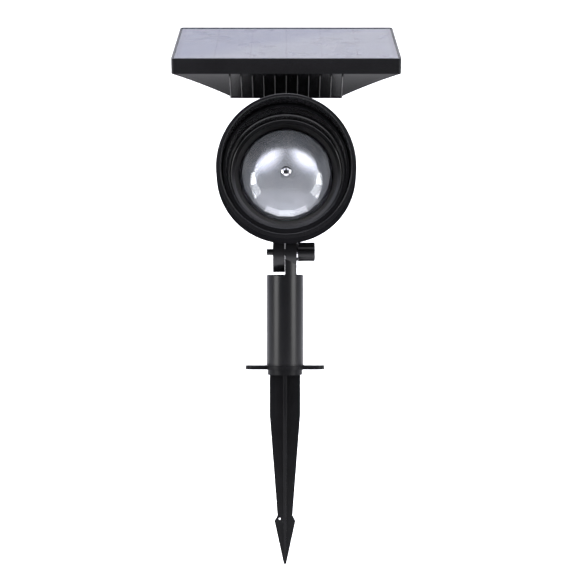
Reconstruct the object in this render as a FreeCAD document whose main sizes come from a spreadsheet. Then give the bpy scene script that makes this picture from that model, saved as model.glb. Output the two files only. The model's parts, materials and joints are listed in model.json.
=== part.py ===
import FreeCAD, Part
import math
import os

import Sketcher
from FreeCAD import Placement, Rotation, Vector

# Light projector stake: a ground spike with a foot bar and a post, a lamp head
# clamped to the post by a thumb screw, a turning lens dome inside its hood, and
# a solar panel on a hinge over the lamp head. Millimetres, +Z up, front is -Y.
# The origin is on the post axis, at the underside of the foot bar.

doc = FreeCAD.newDocument("light_projector_stake")
sheet = doc.addObject("Spreadsheet::Sheet", "Sizes")

DRIVING_SIZES = [
    # post and ground spike
    ("post_radius", 11.7), ("post_wall", 1.5), ("post_bottom", 2.8), ("post_top", 57.5),
    ("cap_top", 59.5), ("cap_edge", 0.6), ("cap_plug_depth", 12.0),
    ("hub_radius", 12.6), ("hub_height", 2.8), ("foot_half_length", 24.8), ("foot_half_width", 5.5),
    ("foot_height", 2.6), ("collar_radius", 11.0), ("collar_depth", 3.3),
    ("blade_half_width", 9.6), ("blade_straight_end", 28.7), ("blade_neck_half_width", 4.75),
    ("blade_neck_depth", 91.8), ("barb_half_width", 6.6), ("barb_depth", 95.2), ("tip_depth", 122.2), ("tip_half_width", 0.75),
    ("blade_thickness", 1.6), ("blade_hole_radius", 0.65), ("blade_hole_x", 3.3), ("blade_hole_depth", 93.9),
    ("spike_plug_height", 16.0), ("fit_gap", 0.1),
    # tilt clamp
    ("bolt_height", 73.7), ("lug_radius", 12.7), ("lug_gap", 0.05), ("head_lug_width", 7.5),
    ("stake_lug_width", 7.3), ("screw_radius", 2.0), ("screw_left_end", 11.6), ("screw_right_end", 17.0),
    ("screw_hole_radius", 2.2), ("insert_radius", 3.2), ("washer_radius", 5.8), ("washer_start", 7.35),
    ("washer_end", 8.05), ("knob_radius", 6.05), ("knob_start", 8.1), ("knob_end", 18.8),
    ("flute_radius", 1.5), ("flute_circle", 6.7), ("flute_angle", 15.0),
    # lamp head, along its own axis
    ("head_side", 0.8), ("head_forward", 20.0), ("head_height", 123.0), ("head_angle", 83.0),
    ("hood_radius", 43.5), ("hood_mouth_radius", 42.4), ("hood_wall", 2.0), ("hood_back", -11.3),
    ("visor_top", 30.0), ("visor_bottom", 3.5), ("hood_floor", -9.0),
    ("bezel_outer", 38.7), ("bezel_lip", 37.7), ("bezel_step_radius", 35.2), ("bezel_throat", 32.0),
    ("bezel_top", 15.6), ("bezel_bottom", 1.0), ("bezel_base", -8.8),
    ("housing_radius", 32.5), ("housing_wall", 2.2), ("housing_back", -62.0), ("housing_edge", 3.0),
    ("shoulder_radius", 41.0), ("shoulder_front", -11.4), ("shoulder_back", -20.0),
    # lens dome and drive
    ("dome_radius", 28.7), ("dome_base", -10.6), ("dome_height", 7.2), ("dome_skirt", 3.8), ("dome_wall", 1.6),
    ("facet_count", 18.0), ("facet_radius", 27.4), ("dome_cavity", 25.6), ("dome_screw_head", 3.3), ("shaft_radius", 2.5),
    ("running_gap", 0.03), ("gear_module", 0.5), ("gear_teeth", 44.0), ("pinion_teeth", 12.0),
    ("gear_back", -34.0), ("gear_width", 3.0), ("plate_radius", 28.5), ("plate_back", -29.0),
    ("plate_thickness", 2.0), ("motor_radius", 8.0), ("motor_length", 22.0),
    ("board_radius", 27.0), ("board_back", -25.0), ("board_thickness", 1.6),
    ("led_size", 5.0), ("led_height", 1.6), ("led_circle", 15.0),
    ("button_radius", 5.0), ("button_travel", 1.5), ("button_proud", 2.0),
    # hinge between lamp head and panel
    ("hinge_up", 46.08), ("hinge_back", -26.58), ("ear_radius", 6.0), ("ear_inner", 4.0), ("ear_outer", 8.0),
    ("tongue_half_width", 3.7), ("pin_radius", 2.0),
    # solar panel, in its own frame with the top face at height zero
    ("panel_back", 15.35), ("panel_height", 207.7), ("panel_angle", 19.2),
    ("panel_width", 140.8), ("panel_depth", 101.8), ("panel_wall", 9.5), ("panel_corner", 2.0),
    ("rim_width", 1.4), ("panel_floor", 1.8), ("recess_depth", 2.4),
    ("cover_base_width", 69.0), ("cover_base_depth", 60.0), ("cover_base", 29.5), ("cover_bow", 1.2),
    ("cover_wall", 2.0), ("cover_lip", 1.0), ("rib_pitch", 6.93), ("rib_count", 11.0),
    ("rib_thickness", 0.9), ("rib_height", 1.0), ("tongue_y", -17.045), ("tongue_z", -38.753),
    ("cell_radius", 9.1), ("cell_length", 65.0),
]

for row, (alias, number) in enumerate(DRIVING_SIZES, start=1):
    sheet.set("A%d" % row, alias.replace("_", " "))
    sheet.set("B%d" % row, str(number))
    sheet.setAlias("B%d" % row, alias)
doc.recompute()


class Size:
    """A number and the sheet expression that gives it."""

    def __init__(self, value, text):
        self.value = float(value)
        self.text = text

    def joined(self, other, sign, value):
        return Size(value, "(%s %s %s)" % (self.text, sign, other.text))

    def __add__(self, other):
        other = as_size(other)
        return self.joined(other, "+", self.value + other.value)

    def __sub__(self, other):
        other = as_size(other)
        return self.joined(other, "-", self.value - other.value)

    def __mul__(self, other):
        other = as_size(other)
        return self.joined(other, "*", self.value * other.value)

    def __truediv__(self, other):
        other = as_size(other)
        return self.joined(other, "/", self.value / other.value)

    def __neg__(self):
        return Size(-self.value, "(0 - %s)" % self.text)


def as_size(number):
    if isinstance(number, Size):
        return number
    if number < 0:
        return Size(number, "(0 - %s)" % repr(-float(number)))
    return Size(number, repr(float(number)))


class Driving:
    """The sheet's cells by their aliases."""

    def __init__(self, table):
        for alias, number in table:
            setattr(self, alias, Size(number, "Sizes." + alias))


D = Driving(DRIVING_SIZES)

STAKE = Placement()
HEAD = Placement(
    Vector(D.head_side.value, -D.head_forward.value, D.head_height.value),
    Rotation(Vector(1, 0, 0), D.head_angle.value),
)
PANEL = Placement(
    Vector(D.head_side.value, D.panel_back.value, D.panel_height.value),
    Rotation(Vector(1, 0, 0), D.panel_angle.value),
)
BOLT = Placement(Vector(0, 0, D.bolt_height.value), Rotation(Vector(0, 1, 0), 90))
SEAT_COS = math.cos(math.radians(D.head_angle.value))
SEAT_SIN = math.sin(math.radians(D.head_angle.value))
BOLT_UP = D.head_forward.value * SEAT_COS + (D.bolt_height.value - D.head_height.value) * SEAT_SIN
BOLT_ALONG = -D.head_forward.value * SEAT_SIN + (D.bolt_height.value - D.head_height.value) * SEAT_COS

nodes = []


def bind(thing, prop, size):
    thing.setExpression(prop, as_size(size).text)


def node(thing, label, frame=None):
    """Name an object as one finished sub-part."""
    thing.Label = label
    if frame is not None:
        thing.Placement = frame
    nodes.append((label, thing))
    return thing


# ---------------------------------------------------------------- bodies made from sketches


def own_plane(body, role):
    for feature in body.Origin.OriginFeatures:
        if feature.Role == role:
            return feature
    raise ValueError("no plane " + role)


def new_body(name, frame=None):
    body = doc.addObject("PartDesign::Body", name + "_body")
    body.Label = name
    if frame is not None:
        body.Placement = frame
    return body


def new_sketch(body, role, offset=0):
    sketch = body.newObject("Sketcher::SketchObject", "outline")
    sketch.AttachmentSupport = [(own_plane(body, role), "")]
    sketch.MapMode = "FlatFace"
    bind(sketch, "AttachmentOffset.Base.z", offset)
    return sketch


def hold_point(sketch, geometry, point, x, y):
    """Fix one point of a sketch at a bound distance from the sketch's origin."""
    for kind, size, axis in (("DistanceX", x, -2), ("DistanceY", y, -1)):
        if abs(size.value) < 1e-9:
            sketch.addConstraint(Sketcher.Constraint("PointOnObject", geometry, point, axis))
        else:
            made = sketch.addConstraint(Sketcher.Constraint(kind, -1, 1, geometry, point, size.value))
            sketch.setExpression("Constraints[%d]" % made, size.text)


def draw_polygon(sketch, corners):
    corners = [(as_size(x), as_size(y)) for x, y in corners]
    first = sketch.GeometryCount
    count = len(corners)
    for i in range(count):
        x, y = corners[i]
        x_next, y_next = corners[(i + 1) % count]
        line = Part.LineSegment(Vector(x.value, y.value, 0), Vector(x_next.value, y_next.value, 0))
        sketch.addGeometry(line, False)
    for i in range(count):
        joint = Sketcher.Constraint("Coincident", first + i, 2, first + (i + 1) % count, 1)
        sketch.addConstraint(joint)
    for i, (x, y) in enumerate(corners):
        hold_point(sketch, first + i, 1, x, y)


def draw_circle(sketch, x, y, radius):
    x, y, radius = as_size(x), as_size(y), as_size(radius)
    made = sketch.addGeometry(Part.Circle(Vector(x.value, y.value, 0), Vector(0, 0, 1), radius.value), False)
    hold_point(sketch, made, 3, x, y)
    rim = sketch.addConstraint(Sketcher.Constraint("Radius", made, radius.value))
    sketch.setExpression("Constraints[%d]" % rim, radius.text)


def draw_rectangle(sketch, x0, y0, x1, y1):
    draw_polygon(sketch, [(x0, y0), (x1, y0), (x1, y1), (x0, y1)])


def revolve(body, corners, cut=False):
    """Turn an outline of (radius, height) corners once round the body's Z axis."""
    sketch = new_sketch(body, "XZ_Plane")
    draw_polygon(sketch, corners)
    kind = "PartDesign::Groove" if cut else "PartDesign::Revolution"
    feature = body.newObject(kind, "turned")
    feature.Profile = sketch
    feature.ReferenceAxis = (sketch, ["V_Axis"])
    feature.Angle = 360.0
    sketch.Visibility = False
    body.Tip = feature
    return feature


def pad(body, sketch, length, midplane=False):
    feature = body.newObject("PartDesign::Pad", "pad")
    feature.Profile = sketch
    bind(feature, "Length", length)
    if midplane:
        feature.SideType = "Symmetric"
    body.Tip = feature
    return feature


def pocket(body, sketch, length, midplane=False):
    """Cut a sketch into the body, and make sure that it takes material away."""
    doc.recompute()
    before = body.Shape.Volume
    feature = body.newObject("PartDesign::Pocket", "pocket")
    feature.Profile = sketch
    bind(feature, "Length", length)
    if midplane:
        feature.SideType = "Symmetric"
    body.Tip = feature
    doc.recompute()
    if body.Shape.Volume > before - 1e-3:
        feature.Reversed = True
        doc.recompute()
    if body.Shape.Volume > before - 1e-3:
        raise ValueError("a pocket cuts nothing in " + body.Label)
    return feature


def round_edges(body, radius, wanted, kind="PartDesign::Fillet"):
    """Fillet or chamfer the edges that a test picks out."""
    doc.recompute()
    base = body.Tip
    names = []
    for index, edge in enumerate(base.Shape.Edges, start=1):
        if wanted(edge):
            names.append("Edge%d" % index)
    if not names:
        raise ValueError("no edges to round on " + body.Label)
    feature = body.newObject(kind, "rounded")
    feature.Base = (base, names)
    bind(feature, "Radius" if kind.endswith("Fillet") else "Size", radius)
    body.Tip = feature
    doc.recompute()
    return feature


def repeat_round(body, features, count, role="Z_Axis"):
    pattern = body.newObject("PartDesign::PolarPattern", "round_pattern")
    pattern.Originals = features
    pattern.Axis = (own_plane(body, role), [""])
    pattern.Angle = 360
    bind(pattern, "Occurrences", count)
    body.Tip = pattern
    return pattern


def repeat_along(body, features, role, length, count):
    pattern = body.newObject("PartDesign::LinearPattern", "row_pattern")
    pattern.Originals = features
    pattern.Direction = (own_plane(body, role), [""])
    bind(pattern, "Length", length)
    bind(pattern, "Occurrences", count)
    body.Tip = pattern
    return pattern


def is_circle_at(edge, radius, height, near=0.05):
    """Is an edge a full circle round Z with this radius at this height?"""
    curve = edge.Curve
    if not hasattr(curve, "Radius") or not hasattr(curve, "Center"):
        return False
    return abs(curve.Radius - radius) < near and abs(curve.Center.z - height) < near


# ---------------------------------------------------------------- solids made from primitives


def set_place(thing, x=0, y=0, z=0):
    for axis, size in (("x", x), ("y", y), ("z", z)):
        bind(thing, "Placement.Base." + axis, size)


def cylinder(radius, height, x=0, y=0, z=0, along="z"):
    """A cylinder that starts at (x, y, z) and runs along +x, +y or +z."""
    thing = doc.addObject("Part::Cylinder", "cylinder")
    bind(thing, "Radius", radius)
    bind(thing, "Height", height)
    turn = {"z": Rotation(), "x": Rotation(Vector(0, 1, 0), 90), "y": Rotation(Vector(1, 0, 0), -90)}
    thing.Placement = Placement(Vector(), turn[along])
    set_place(thing, x, y, z)
    return thing


def box(x0, y0, z0, x1, y1, z1):
    x0, y0, z0, x1, y1, z1 = [as_size(side) for side in (x0, y0, z0, x1, y1, z1)]
    thing = doc.addObject("Part::Box", "box")
    bind(thing, "Length", x1 - x0)
    bind(thing, "Width", y1 - y0)
    bind(thing, "Height", z1 - z0)
    set_place(thing, x0, y0, z0)
    return thing


def fused(*things):
    thing = doc.addObject("Part::MultiFuse", "joined")
    thing.Shapes = list(things)
    return thing


def cut(base, tool):
    thing = doc.addObject("Part::Cut", "cut")
    thing.Base = base
    thing.Tool = tool
    return thing


def common(base, tool):
    thing = doc.addObject("Part::Common", "common")
    thing.Base = base
    thing.Tool = tool
    return thing


# ================================================================ stake


def make_ground_spike():
    body = new_body("ground_spike")

    foot = new_sketch(body, "XY_Plane")
    tip = D.foot_half_length - D.foot_half_width
    draw_rectangle(foot, -tip, -D.foot_half_width, tip, D.foot_half_width)
    pad(body, foot, D.foot_height)
    for side in (1, -1):
        rounded_end = new_sketch(body, "XY_Plane")
        draw_circle(rounded_end, tip * side, 0, D.foot_half_width)
        pad(body, rounded_end, D.foot_height)
    hub = new_sketch(body, "XY_Plane")
    draw_circle(hub, 0, 0, D.hub_radius)
    pad(body, hub, D.hub_height)

    # the plug that stands in the bottom of the post, and the collar below the bar
    plug_radius = D.post_radius - D.post_wall - D.fit_gap
    revolve(
        body,
        [
            (0, -D.collar_depth),
            (D.collar_radius, -D.collar_depth),
            (D.collar_radius, 0.5),
            (plug_radius, 0.5),
            (plug_radius, D.hub_height + D.spike_plug_height - 1.0),
            (plug_radius - 1.0, D.hub_height + D.spike_plug_height),
            (0, D.hub_height + D.spike_plug_height),
        ],
    )
    bore = new_sketch(body, "XY_Plane", D.hub_height)
    draw_circle(bore, 0, 0, plug_radius - 2.0)
    pocket(body, bore, D.spike_plug_height + 1.0)

    blade_outline = [
        (-D.blade_half_width, -D.collar_depth + 0.5),
        (-D.blade_half_width, -D.blade_straight_end),
        (-D.blade_neck_half_width, -D.blade_neck_depth),
        (-D.barb_half_width, -D.barb_depth),
        (-D.tip_half_width, -D.tip_depth),
        (D.tip_half_width, -D.tip_depth),
        (D.barb_half_width, -D.barb_depth),
        (D.blade_neck_half_width, -D.blade_neck_depth),
        (D.blade_half_width, -D.blade_straight_end),
        (D.blade_half_width, -D.collar_depth + 0.5),
    ]
    for role in ("XZ_Plane", "YZ_Plane"):
        blade = new_sketch(body, role)
        draw_polygon(blade, blade_outline)
        pad(body, blade, D.blade_thickness, midplane=True)

    # the solid core where the blades cross, and the moulding hole beside the barb
    revolve(
        body,
        [
            (0, -D.collar_depth + 0.5),
            (1.6, -D.collar_depth + 0.5),
            (1.6, -D.blade_straight_end),
            (1.4, -D.blade_neck_depth),
            (1.3, -D.barb_depth - 6.0),
            (0, -D.tip_depth + 6.0),
        ],
    )
    hole = new_sketch(body, "XZ_Plane")
    draw_circle(hole, -D.blade_hole_x, -D.blade_hole_depth, D.blade_hole_radius)
    pocket(body, hole, 6.0, midplane=True)
    round_edges(
        body, 0.15, lambda edge: is_circle_at(edge, D.hub_radius.value, D.hub_height.value), "PartDesign::Chamfer"
    )
    return node(body, "ground_spike")


def make_post_tube():
    body = new_body("post_tube")
    ring = new_sketch(body, "XY_Plane", D.post_bottom)
    draw_circle(ring, 0, 0, D.post_radius)
    draw_circle(ring, 0, 0, D.post_radius - D.post_wall)
    pad(body, ring, D.post_top - D.post_bottom)
    return node(body, "post_tube")


def make_post_cap():
    plug_radius = D.post_radius - D.post_wall - D.fit_gap
    cap = new_body("post_cap_disc")
    revolve(
        cap,
        [
            (plug_radius - 2.0, D.post_top - D.cap_plug_depth),
            (plug_radius, D.post_top - D.cap_plug_depth),
            (plug_radius, D.post_top),
            (D.post_radius, D.post_top),
            (D.post_radius, D.cap_top - D.cap_edge),
            (D.post_radius - D.cap_edge, D.cap_top),
            (0, D.cap_top),
            (0, D.post_top),
            (plug_radius - 2.0, D.post_top),
        ],
    )
    # the neck is the right-hand side of a post-wide cylinder, with the lug disc on top
    column = cylinder(D.post_radius, D.bolt_height - D.cap_top + 0.5, z=D.cap_top - 0.5)
    side = box(
        D.lug_gap, -D.post_radius - 1, D.cap_top - 0.5, D.stake_lug_width, D.post_radius + 1, D.bolt_height
    )
    neck = common(column, side)
    disc = cylinder(D.lug_radius, D.stake_lug_width - D.lug_gap, x=D.lug_gap, z=D.bolt_height, along="x")
    hole = cylinder(D.screw_hole_radius, 12.0, x=-1.0, z=D.bolt_height, along="x")
    return node(cut(fused(cap, neck, disc), hole), "post_cap")


def make_clamp_washer():
    body = new_body("clamp_washer")
    ring = new_sketch(body, "YZ_Plane", D.washer_start)
    draw_circle(ring, 0, D.bolt_height, D.washer_radius)
    draw_circle(ring, 0, D.bolt_height, D.screw_hole_radius)
    pad(body, ring, D.washer_end - D.washer_start)
    return node(body, "clamp_washer")


def make_thumb_screw():
    """A fluted knob moulded over the head of a threaded rod."""
    knob = new_body("thumb_knob", BOLT)
    grip = new_sketch(knob, "XY_Plane", D.knob_start)
    draw_circle(grip, 0, 0, D.knob_radius)
    pad(knob, grip, D.knob_end - D.knob_start)
    round_edges(
        knob, 0.6, lambda edge: is_circle_at(edge, D.knob_radius.value, D.knob_end.value), "PartDesign::Chamfer"
    )
    seat = new_sketch(knob, "XY_Plane", D.knob_start)
    draw_circle(seat, 0, 0, D.screw_radius)
    pocket(knob, seat, D.screw_right_end - D.knob_start)
    doc.recompute()
    flute = new_sketch(knob, "XY_Plane", D.knob_start)
    flute_at = math.radians(90 - D.flute_angle.value)
    draw_circle(
        flute, D.flute_circle * round(math.sin(flute_at), 6), D.flute_circle * round(math.cos(flute_at), 6),
        D.flute_radius,
    )
    groove = pocket(knob, flute, 30.0)
    repeat_round(knob, [groove], 6)
    node(knob, "thumb_knob")

    rod = new_body("thumb_screw_rod", BOLT)
    revolve(
        rod,
        [
            (0, -D.screw_left_end),
            (D.screw_radius - 0.4, -D.screw_left_end),
            (D.screw_radius, -D.screw_left_end + 0.4),
            (D.screw_radius, D.screw_right_end),
            (0, D.screw_right_end),
        ],
    )
    node(rod, "thumb_screw_rod")


make_ground_spike()
make_post_tube()
make_post_cap()
make_clamp_washer()
make_thumb_screw()


# ================================================================ lamp head


def slanted_cut(body, top, bottom, half_width):
    """Cut away everything in front of a plane that leans from top to bottom of the head."""
    slope = (top - bottom) / (half_width * 2)
    middle = (top + bottom) / 2
    wedge = new_sketch(body, "YZ_Plane")
    draw_polygon(
        wedge,
        [
            (-60, middle - slope * 60),
            (60, middle + slope * 60),
            (60, 60),
            (-60, 60),
        ],
    )
    return pocket(body, wedge, 200, midplane=True)


def lies_on_slant(edge, top, bottom, half_width):
    slope = (top - bottom) / (half_width * 2)
    for share in (0.1, 0.5, 0.9):
        first, last = edge.ParameterRange
        point = edge.valueAt(first + (last - first) * share)
        if abs(point.z - (top + bottom) / 2 - slope * point.y) > 0.02:
            return False
    return True


def make_front_hood():
    body = new_body("front_hood", HEAD)
    front = D.visor_top + 2
    revolve(
        body,
        [
            (34.0, D.hood_back),
            (D.hood_radius - 1, D.hood_back),
            (D.hood_radius, D.hood_back + 1),
            (D.hood_mouth_radius, front),
            (D.hood_mouth_radius - D.hood_wall, front),
            (D.bezel_outer + 0.4, 1.5),
            (D.bezel_outer + 0.4, D.hood_floor),
            (34.0, D.hood_floor),
        ],
    )
    slanted_cut(body, D.visor_top, D.visor_bottom, D.hood_mouth_radius)
    slant = (D.visor_top.value, D.visor_bottom.value, D.hood_mouth_radius.value)
    round_edges(body, 0.9, lambda edge: lies_on_slant(edge, *slant))
    for angle in range(45, 360, 90):
        x, y = 36.3 * round(math.cos(math.radians(angle)), 6), 36.3 * round(math.sin(math.radians(angle)), 6)
        seat = new_sketch(body, "XY_Plane", D.hood_floor)
        draw_circle(seat, x, y, 2.15)
        pocket(body, seat, 1.5)
        hole = new_sketch(body, "XY_Plane", D.hood_floor)
        draw_circle(hole, x, y, 1.4)
        pocket(body, hole, 5.0)
    return node(body, "front_hood")


def screw(radius, head_radius, x, y, tip, seat, top):
    """A screw along Z: shank from tip to seat, head from seat to top."""
    shank = cylinder(radius, as_size(seat) - tip, x, y, tip)
    head = cylinder(head_radius, as_size(top) - seat, x, y, seat)
    return fused(shank, head)


def screw_set(label, radius, head_radius, places, tip, seat, top, frame):
    made = [screw(radius, head_radius, x, y, tip, seat, top) for x, y in places]
    group = doc.addObject("Part::Compound", "screws")
    group.Links = made
    return node(group, label, frame)


def on_circle(radius, angles):
    places = []
    for angle in angles:
        turn = math.radians(angle)
        places.append((radius * round(math.cos(turn), 6), radius * round(math.sin(turn), 6)))
    return places


def make_bezel_ring():
    body = new_body("bezel_ring", HEAD)
    revolve(
        body,
        [
            (D.bezel_throat, D.bezel_base),
            (D.bezel_outer, D.bezel_base),
            (D.bezel_outer, D.bezel_top + 4),
            (D.bezel_lip, D.bezel_top + 4),
            (D.bezel_step_radius + 1.5, 0.3),
            (D.bezel_step_radius + 0.7, 0.3),
            (D.bezel_step_radius, -0.4),
            (D.bezel_step_radius - 0.4, -7.6),
            (D.bezel_throat + 2.3, -7.6),
            (D.bezel_throat + 1.9, -7.9),
            (D.bezel_throat, -8.5),
        ],
    )
    slanted_cut(body, D.bezel_top, D.bezel_bottom, D.bezel_outer)
    return node(body, "bezel_ring")


def make_hood_seal():
    body = new_body("hood_seal", HEAD)
    revolve(body, [(32.25, -12.85), (33.55, -12.85), (33.55, -11.35), (32.25, -11.35)])
    return node(body, "hood_seal")


def make_lip_seal():
    body = new_body("lip_seal", HEAD)
    revolve(
        body,
        [(29.2, -10.4), (31.0, -11.3), (33.9, -11.3), (33.9, -9.1), (30.5, -9.1), (29.2, -9.9)],
    )
    return node(body, "lip_seal")


PLATE_POSTS = on_circle(25.0, (30, 150, 270))
BOARD_POSTS = on_circle(20.5, (0, 120, 240))
CONTROL_POSTS = [(11.0, -8.0), (-11.0, -8.0)]
BRACKET_SCREWS = [-24.5, -35.5]
HINGE_SCREWS = [(-12.0, -29.0), (12.0, -29.0)]
BRACKET_SCREW_X = -12.5


def make_rear_housing():
    body = new_body("rear_housing", HEAD)
    inner = D.housing_radius - D.housing_wall
    revolve(
        body,
        [
            (0, D.housing_back),
            (D.housing_radius - D.housing_edge, D.housing_back),
            (D.housing_radius, D.housing_back + D.housing_edge),
            (D.housing_radius, D.shoulder_back),
            (D.shoulder_radius, D.shoulder_front - 1.6),
            (D.shoulder_radius, D.shoulder_front),
            (33.6, D.shoulder_front),
            (33.6, D.shoulder_front - 1.5),
            (32.2, D.shoulder_front - 1.5),
            (32.2, D.shoulder_front),
            (inner + 0.9, D.shoulder_front),
            (inner, D.shoulder_front - 2.6),
            (inner, D.housing_back + D.housing_wall),
            (0, D.housing_back + D.housing_wall),
        ],
    )
    floor = D.housing_back + D.housing_wall
    round_edges(
        body,
        2.0,
        lambda edge: is_circle_at(edge, D.housing_radius.value, (D.housing_back + D.housing_edge).value)
        or is_circle_at(edge, (D.housing_radius - D.housing_edge).value, D.housing_back.value),
    )
    posts = new_sketch(body, "XY_Plane", floor - 0.5)
    for x, y in PLATE_POSTS:
        draw_circle(posts, x, y, 3.4)
    pad(body, posts, D.plate_back - floor + 0.5)
    rests = new_sketch(body, "XY_Plane", floor - 0.5)
    for x, y in CONTROL_POSTS:
        draw_circle(rests, x, y, 2.4)
    pad(body, rests, -floor - 49.2 + 0.5)
    for places, radius, top, depth in (
        (PLATE_POSTS, 1.25, D.plate_back, 12.0),
        (CONTROL_POSTS, 1.0, as_size(-49.2), 6.0),
        (on_circle(36.3, range(45, 360, 90)), 1.25, D.shoulder_front, 2.6),
    ):
        for x, y in places:
            hole = new_sketch(body, "XY_Plane", top)
            draw_circle(hole, x, y, radius)
            pocket(body, hole, depth)

    # the rear face has the button hole, and the bosses under the hinge bracket take its screws
    button_hole = new_sketch(body, "XY_Plane", floor + 1)
    draw_circle(button_hole, 0, -14.0, D.button_radius + 0.3)
    pocket(body, button_hole, 6.0)

    # the two screws that hold the bracket enter from below
    doc.recompute()
    cutters = [
        cylinder(1.5, 12.0, x=BRACKET_SCREW_X, y=-36.0, z=along, along="y") for along in BRACKET_SCREWS
    ]
    cutters += [cylinder(1.25, 12.0, x=x, y=26.0, z=along, along="y") for x, along in HINGE_SCREWS]
    body.Placement = Placement()
    return node(cut(body, fused(*cutters)), "rear_housing", HEAD)


def make_head_bracket():
    up, along = BOLT_UP, BOLT_ALONG
    left_face, right_face = -D.head_lug_width - D.head_side, -D.lug_gap - D.head_side
    outer = cylinder(D.housing_radius + 2.0, 19.6, z=-40.0)
    inner = cylinder(D.housing_radius + 0.05, 30.0, z=-45.0)
    left = box(-17.5, -40, -40.0, right_face, -20, -20.4)
    saddle = common(outer, left)
    bosses = [cylinder(3.4, 6.0, x=BRACKET_SCREW_X, y=-34.6, z=place, along="y") for place in BRACKET_SCREWS]
    neck = box(left_face, up, along - 10.5, right_face, -30.0, along + 5.3)
    body = cut(fused(saddle, neck, *bosses), inner)
    disc = cylinder(D.lug_radius, D.head_lug_width - D.lug_gap, x=left_face, y=up, z=along, along="x")
    hole = cylinder(D.insert_radius, 12.0, x=left_face - 1, y=up, z=along, along="x")
    holes = [cylinder(1.5, 12.0, x=BRACKET_SCREW_X, y=-37.0, z=place, along="y") for place in BRACKET_SCREWS]
    node(cut(fused(body, disc), fused(hole, *holes)), "head_bracket", HEAD)

    insert = new_body("lug_insert", BOLT)
    revolve(
        insert,
        [
            (D.screw_radius + 0.05, -D.head_lug_width),
            (D.insert_radius, -D.head_lug_width),
            (D.insert_radius, -D.lug_gap),
            (D.screw_radius + 0.05, -D.lug_gap),
        ],
    )
    node(insert, "lug_insert")

    made = []
    for place in BRACKET_SCREWS:
        shank = cylinder(1.5, 7.6, x=BRACKET_SCREW_X, y=-34.6, z=place, along="y")
        head = cylinder(2.8, 1.8, x=BRACKET_SCREW_X, y=-36.4, z=place, along="y")
        made.append(fused(shank, head))
    group = doc.addObject("Part::Compound", "screws")
    group.Links = made
    node(group, "bracket_screws", HEAD)


make_front_hood()
make_bezel_ring()
make_hood_seal()
make_lip_seal()
screw_set("hood_screws", 1.25, 2.1, on_circle(36.3, range(45, 360, 90)), -13.9, -10.5, -9.1, HEAD)
make_rear_housing()
make_head_bracket()


# ---------------------------------------------------------------- optics and drive inside the head


def sphere(radius, x=0, y=0, z=0):
    thing = doc.addObject("Part::Sphere", "sphere")
    bind(thing, "Radius", radius)
    set_place(thing, x, y, z)
    return thing


def ring_of_prisms(sides, levels):
    """A solid with flat sides lofted through regular polygons at (radius, height) levels."""
    sections = []
    for radius, height in levels:
        polygon = doc.addObject("Part::RegularPolygon", "polygon")
        bind(polygon, "Polygon", sides)
        bind(polygon, "Circumradius", radius)
        set_place(polygon, 0, 0, height)
        sections.append(polygon)
    loft = doc.addObject("Part::Loft", "loft")
    loft.Sections = sections
    loft.Solid = True
    loft.Ruled = True
    return loft


def sphere_radius():
    """The radius of a sphere through the dome's rim and its apex."""
    return (D.dome_radius * D.dome_radius + D.dome_height * D.dome_height) / (D.dome_height * 2)


def make_dome():
    ball = sphere_radius()
    shoulder = D.dome_base + D.dome_skirt
    centre = shoulder + D.dome_height - ball
    outer = common(
        sphere(ball, z=centre),
        cylinder(D.dome_radius, D.dome_skirt + D.dome_height + 2.0, z=D.dome_base),
    )
    facets = ring_of_prisms(
        D.facet_count,
        [
            (D.dome_radius + 0.35, D.dome_base - 0.2),
            (D.facet_radius, shoulder + 0.6),
            (D.dome_radius * 0.83, shoulder + 2.25),
            (D.dome_radius * 0.685, shoulder + 3.85),
            (D.dome_radius * 0.685, shoulder + D.dome_height + 1.0),
        ],
    )
    cavity = common(
        sphere(ball - D.dome_wall, z=centre),
        cylinder(D.dome_cavity, D.dome_skirt + D.dome_height, z=D.dome_base - 0.5),
    )
    shell = cut(common(outer, facets), cavity)
    rim = cut(
        cylinder(D.dome_radius, 1.6, z=D.dome_base - 1.55), cylinder(D.dome_cavity, 4.0, z=D.dome_base - 2.5)
    )
    boss = cylinder(4.6, 2.4, z=-3.0)
    bore = cylinder(1.5, 12.0, z=-8.0)
    node(cut(fused(shell, rim, boss), bore), "dome_lens", HEAD)

    head = new_body("dome_screw", HEAD)
    revolve(
        head,
        [
            (0, -7.0),
            (1.5, -7.0),
            (1.5, 0.42),
            (D.dome_screw_head, 0.42),
            (D.dome_screw_head, 1.1),
            (2.9, 1.75),
            (2.0, 2.25),
            (0.9, 2.45),
            (0, 2.5),
        ],
    )
    for width, length in ((0.75, 3.4), (3.4, 0.75)):
        slot = new_sketch(head, "XY_Plane", 3.0)
        draw_rectangle(slot, -width / 2, -length / 2, width / 2, length / 2)
        pocket(head, slot, 1.1)
    node(head, "dome_screw")

    hub = new_body("rotor_hub", HEAD)
    revolve(hub, [(D.shaft_radius, -8.0), (4.6, -8.0), (4.6, -3.05), (D.shaft_radius, -3.05)])
    node(hub, "rotor_hub")

    shaft = new_body("dome_shaft", HEAD)
    revolve(
        shaft,
        [
            (0, D.gear_back - 0.6),
            (D.shaft_radius, D.gear_back - 0.6),
            (D.shaft_radius, -3.05),
            (1.5, -3.05),
            (1.5, -8.2),
            (0, -8.2),
        ],
    )
    node(shaft, "dome_shaft")


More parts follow.
